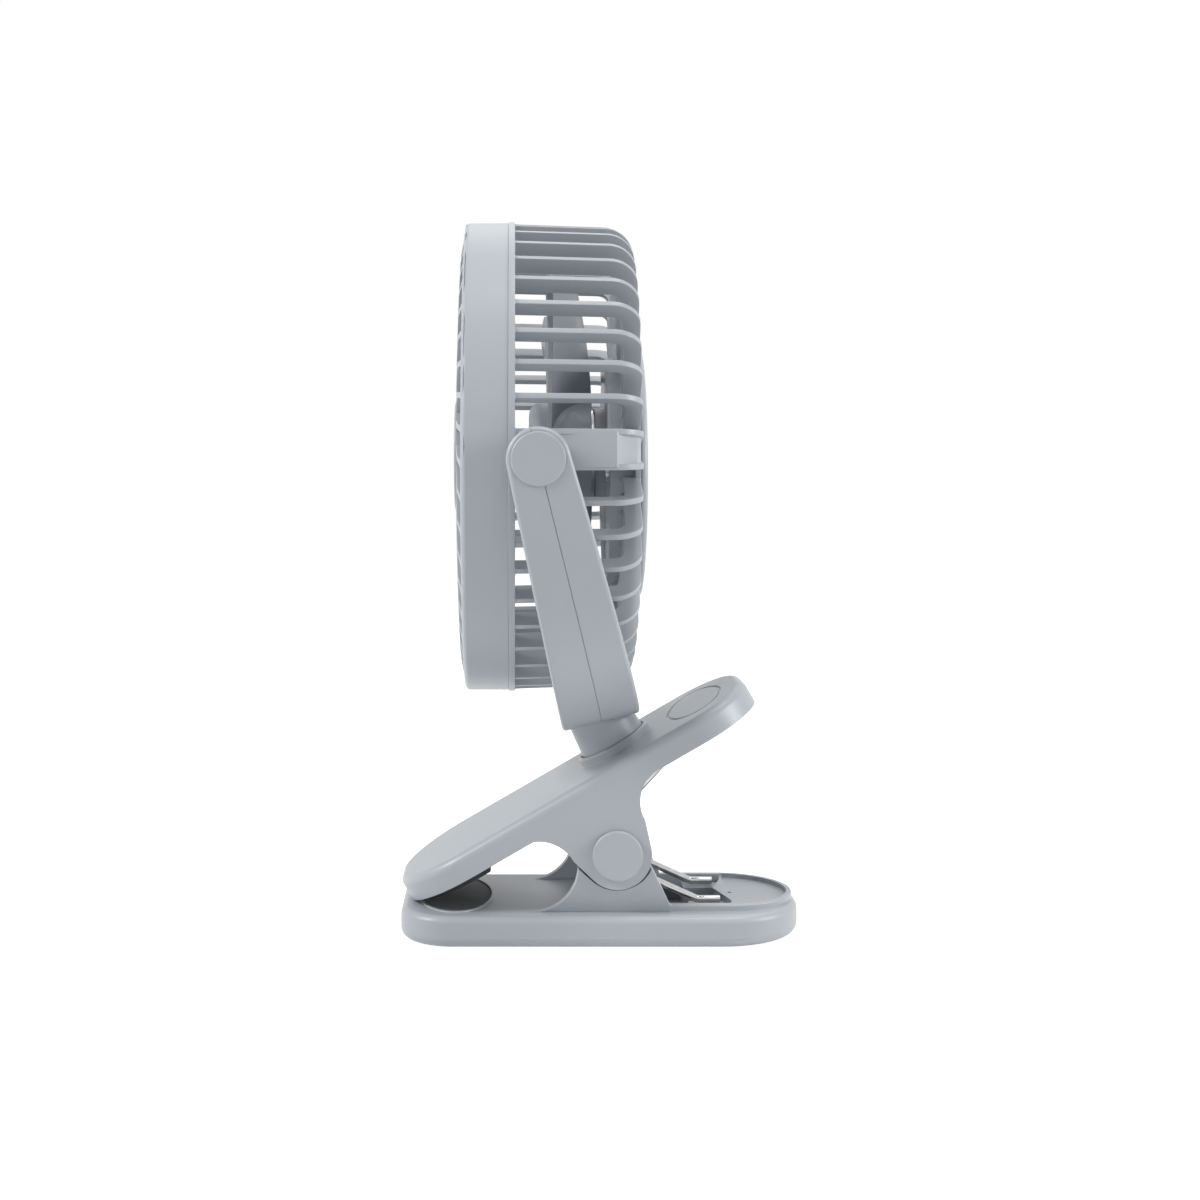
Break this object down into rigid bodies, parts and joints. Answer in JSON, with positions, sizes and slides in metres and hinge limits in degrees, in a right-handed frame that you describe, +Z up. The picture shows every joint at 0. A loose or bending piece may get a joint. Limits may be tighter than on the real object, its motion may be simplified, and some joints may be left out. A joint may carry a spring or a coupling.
{
  "type": "clip fan",
  "caption": "Small fan in a ribbed round cage, held by a U yoke that swivels on a spring clip, whose flat lower jaw is also its foot.",
  "frame": {"origin": "centre of the underside of the base, where the fan stands", "axes": "+Z up; -X the way the air leaves, square to the cage; Y along the hinge pin of the clip and the pivots of the head"},
  "size_m": [0.1084, 0.1488, 0.1946],
  "materials": {
    "body_plastic": "cool light grey moulded ABS, fine matte texture",
    "base_plastic": "cool light grey moulded ABS, fine matte texture",
    "blade_plastic": "light grey moulded polypropylene, satin",
    "rubber": "dark grey moulded silicone rubber, matte",
    "spring_steel": "bright drawn spring wire",
    "steel": "zinc plated steel",
    "motor_steel": "plated steel can",
    "nylon": "natural nylon washer",
    "battery_wrap": "lithium pouch cell in its foil",
    "board": "glass fibre circuit board with green resist",
    "switch_plastic": "black moulded push switch",
    "port_steel": "stamped steel shell of the charging socket",
    "lens": "clear frosted acrylic light pipe"
  },
  "bodies": {
    "lower_jaw": {"base_shell": "base_plastic", "base_cover": "base_plastic", "base_cover_screws": "steel", "lower_jaw_pad": "rubber", "hinge_pin": "steel", "hinge_caps": "body_plastic", "torsion_spring": "spring_steel"},
    "upper_jaw": {"upper_jaw": "body_plastic", "upper_jaw_pad": "rubber"},
    "yoke": {"swivel_neck": "body_plastic", "neck_washer": "steel", "neck_screw": "steel", "yoke_front_shell": "body_plastic", "yoke_rear_shell": "body_plastic", "yoke_screws": "steel", "pivot_caps": "body_plastic"},
    "head": {"front_guard": "body_plastic", "guard_cap": "body_plastic", "rear_cage": "body_plastic", "back_cover": "body_plastic", "cover_screws": "steel", "pivot_screws": "steel", "friction_washers": "nylon", "motor": "motor_steel", "battery": "battery_wrap", "circuit_board": "board", "power_switch": "switch_plastic", "charging_port": "port_steel", "indicator_lens": "lens"},
    "rotor": {"fan_blades": "blade_plastic", "motor_shaft": "steel"},
    "button": {"power_button": "body_plastic"}
  },
  "joints": [
    {"name": "jaw_hinge", "type": "hinge", "parent": "lower_jaw", "child": "upper_jaw", "pos_m": [0.0039, 0, 0.0243], "axis": [0, 1, 0], "range_deg": [0, 48], "stiffness_Nm_per_rad": 1.8, "springref_deg": -25.21, "deforming": ["torsion_spring"]},
    {"name": "neck_swivel", "type": "hinge", "parent": "upper_jaw", "child": "yoke", "pos_m": [0.00462, 0, 0.04966], "axis": [-0.5, 0, 0.866], "continuous": true},
    {"name": "head_tilt", "type": "hinge", "parent": "yoke", "child": "head", "pos_m": [-0.01775, 0, 0.13], "axis": [0, 1, 0], "continuous": true},
    {"name": "fan_spin", "type": "hinge", "parent": "head", "child": "rotor", "pos_m": [-0.01, 0, 0.13], "axis": [-1, 0, 0], "continuous": true},
    {"name": "button_press", "type": "slide", "parent": "head", "child": "button", "axis": [-1, 0, 0], "range_m": [0, 0.0004], "stiffness_N_per_m": 600, "springref_m": -0.0005}
  ]
}
